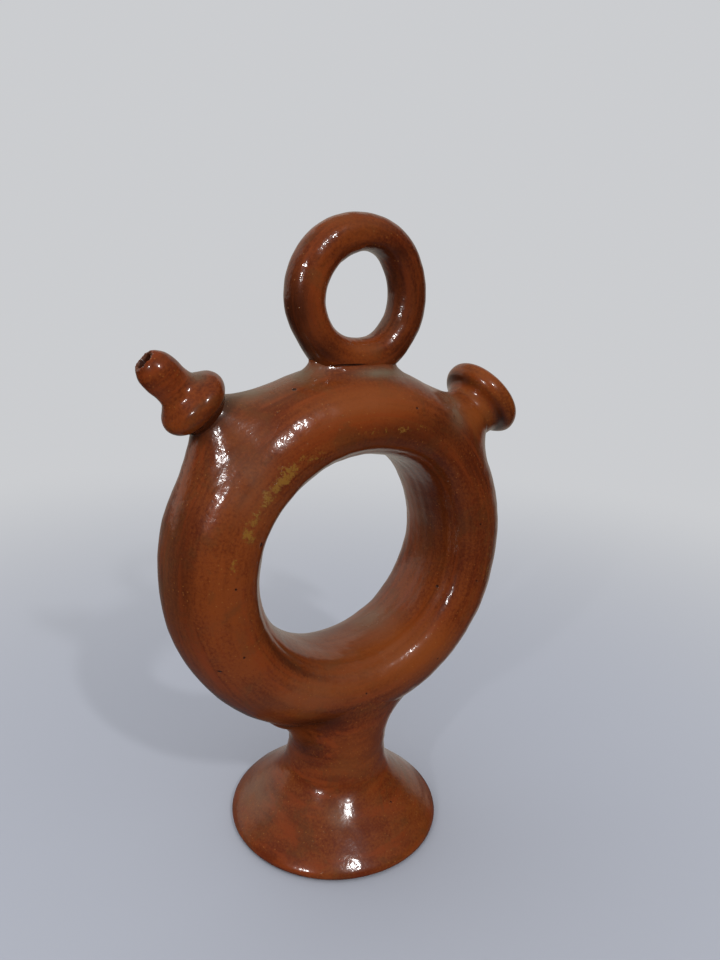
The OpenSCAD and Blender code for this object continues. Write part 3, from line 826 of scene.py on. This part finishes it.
# Grey film with painted sheen in the saddle under the nozzle.
spout_film_and_sheen = [((-0.0708, -0.0022, 0.2246), (0.0040, 0.0045, 0.0040), 0.90)]
make_piece("spout_glazed", uneven(spout, spout_quads), spout_quads, "spout",
           spout_glaze, film_and_sheen=spout_film_and_sheen, painted_shade=shade_under_collar + 0.65 * broken_tip + in_outlet,
           bare=0.22 * broken_tip * ~in_outlet)


# The spout's luting: soft clay wiped round the root in a wide hollow sweep, which makes the broad
# shoulder there. Painted shade darkens it where it meets the spout, under the collar.
points, quads = wiped_fillet(
    spout_angle, neck_r=0.0104, rise=(0.0092, 0.0066), reach=(0.034, 0.035, 0.0230, 0.0235),
    fullness=0.5)
spout_luting_glaze = glazed(
    "spout_luting_glaze", ring_dark, ring_warm, ring_turning, ring_pits, relief=1.2)
to_spout = rise_and_radius(points, spout_origin, spout_axes[2])[1]
shade_at_spout_root = 0.70 * np.exp(-((to_spout - 0.0104) / 0.0024) ** 2)
make_piece("spout_luting_glazed", uneven(points, quads), quads, "spout_luting",
           spout_luting_glaze, ring_film_and_sheen, ring_ochre, ring_shade, painted_shade=shade_at_spout_root)


# The table: a plain pale top, wide enough for every view, which fades into the room's grey. The
# glaze mirrors it as part of a dim room, a little brighter behind the jug, so that it stays deep.
# Bearings are in radians from +Y, which is behind the jug, towards +X.
room_grey, mirrored_hue = (0.60, 0.61, 0.63, 1), (1.0, 0.91, 0.80, 1)
table_mesh = bpy.data.meshes.new("table_top")
table_mesh.from_pydata([(-4, -4, 0), (4, -4, 0), (4, 4, 0), (-4, 4, 0)], [], [(0, 1, 2, 3)])
table_paint = bpy.data.materials.new("table_paint")
table_paint.use_nodes = True
tree = table_paint.node_tree
tree.nodes.clear()
spot = add_node(tree, "TexCoord").outputs["Object"]
away = vectors(tree, "LENGTH", spot)["Value"]
near = add_node(tree, "BsdfPrincipled", {"Base Color": (0.42, 0.44, 0.50, 1), "Roughness": 0.7})
far = add_node(tree, "Emission", {"Color": room_grey, "Strength": 1.0})
paths = add_node(tree, "LightPath").outputs
fade = times(tree, ramp(tree, away, 0.12, 0.75), paths["Is Camera Ray"])
top = add_node(tree, "MixShader", {0: fade, 1: near.outputs[0], 2: far.outputs[0]})
x, y, z = add_node(tree, "SeparateXYZ", {0: spot}).outputs
bearing = calc(tree, "ARCTAN2", x, y)
behind = times(tree, ramp(tree, bearing, -0.90, 0.65), ramp(tree, bearing, 1.65, 1.25))
room_end = add_node(tree, "Emission", {
    "Color": mirrored_hue, "Strength": ramp(tree, behind, 0, 1, 0.012, 0.34)})
mirrored = times(tree, ramp(tree, away, 0.05, 0.35, 0.85, 1.0), paths["Is Glossy Ray"])
top = add_node(tree, "MixShader", {0: mirrored, 1: top.outputs[0], 2: room_end.outputs[0]})
add_node(tree, "OutputMaterial", {"Surface": top.outputs[0]})
table_mesh.materials.append(table_paint)
table = bpy.data.objects.new("table_top", table_mesh)
bpy.context.scene.collection.objects.link(table)


# The light: two tall soft boxes, one in front and above and one at the left, and a pale room all
# round, soft on the jug from every side. The glaze mirrors the room much dimmer, and a pale board
# behind the jug is all that stands out in it.
lamp_distance, jug_middle = 1.6, Vector((0, 0, 0.15))


def soft_box(name, azimuth, elevation, width, height, brightness):
    """A rectangular lamp that faces the jug's middle. azimuth is in degrees from the jug's front
    towards its right, and elevation in degrees above the level."""
    a, e = np.radians(azimuth), np.radians(elevation)
    way = Vector((np.sin(a) * np.cos(e), -np.cos(a) * np.cos(e), np.sin(e)))
    lamp = bpy.data.lights.new(name, "AREA")
    lamp.shape, lamp.size, lamp.size_y = "RECTANGLE", width, height
    lamp.energy = brightness * np.pi * width * height
    holder = bpy.data.objects.new(name, lamp)
    holder.location = jug_middle + way * lamp_distance
    holder.rotation_euler = way.to_track_quat("Z", "Y").to_euler()
    holder.visible_camera = False
    bpy.context.scene.collection.objects.link(holder)


soft_box("window_front", azimuth=-3, elevation=40, width=0.065, height=0.11, brightness=285)
soft_box("window_left", azimuth=-60, elevation=21, width=0.06, height=0.10, brightness=205)
room = bpy.data.worlds.new("room")
bpy.context.scene.world = room
room.use_nodes = True
tree = room.node_tree
tree.nodes.clear()
sky = add_node(tree, "TexCoord").outputs["Generated"]
x, y, z = add_node(tree, "SeparateXYZ", {0: sky}).outputs
bearing = calc(tree, "ARCTAN2", x, y)
board = times(tree, ramp(tree, bearing, -1.05, -0.75), ramp(tree, bearing, 1.55, 1.15))
board = times(tree, board, ramp(tree, z, 0.74, 0.56))
mirrored = plus(tree, ramp(tree, board, 0, 1, 0.012, 0.38), ramp(tree, z, 0.30, 0.70, 0.0, 0.10))
soft = plus(tree, ramp(tree, x, 1.0, -1.0, 0.27, 0.64), ramp(tree, z, -0.2, 1.0, 0.0, 0.42))
soft = plus(tree, soft, ramp(tree, y, 0.1, 1.0, 0.0, 0.45))
paths = add_node(tree, "LightPath").outputs
level = add_node(tree, "Mix", {0: paths["Is Glossy Ray"], 2: soft, 3: mirrored}).outputs[0]
hue = tint(tree, paths["Is Glossy Ray"], (0.97, 0.98, 1.0, 1), mirrored_hue)
lit = add_node(tree, "Background", {"Color": hue, "Strength": level}).outputs[0]
seen = add_node(tree, "Background", {"Color": room_grey, "Strength": 1.0}).outputs[0]
mixed = add_node(tree, "MixShader", {0: paths["Is Camera Ray"], 1: lit, 2: seen})
add_node(tree, "OutputWorld", {"Surface": mixed.outputs[0]})
bpy.context.scene.view_settings.view_transform = "Standard"


# The camera: a hand-held view from the front left, a little above. Its place, way and roll are
# fitted to the photograph, so that the two pictures can be laid over each other.
view_way = Vector((0.5225, 0.8112, -0.2625)).normalized()
eye = Vector((-0.1692, -0.2760, 0.2627))
yaw, roll = np.radians(-32.787), np.radians(2.306)
camera_data = bpy.data.cameras.new("camera")
camera_data.sensor_width = 36
camera_data.lens = 27.5625
camera_data.clip_start = 0.01
camera = bpy.data.objects.new("camera", camera_data)
bpy.context.scene.collection.objects.link(camera)
bpy.context.scene.camera = camera
level_right = Vector((np.cos(yaw), np.sin(yaw), 0))
straight_up = level_right.cross(view_way)
right = Vector(np.cos(roll) * np.array(level_right) + np.sin(roll) * np.array(straight_up))
up = right.cross(view_way)
camera.matrix_world = Matrix((
    (right.x, up.x, -view_way.x, eye.x),
    (right.y, up.y, -view_way.y, eye.y),
    (right.z, up.z, -view_way.z, eye.z),
    (0, 0, 0, 1)))
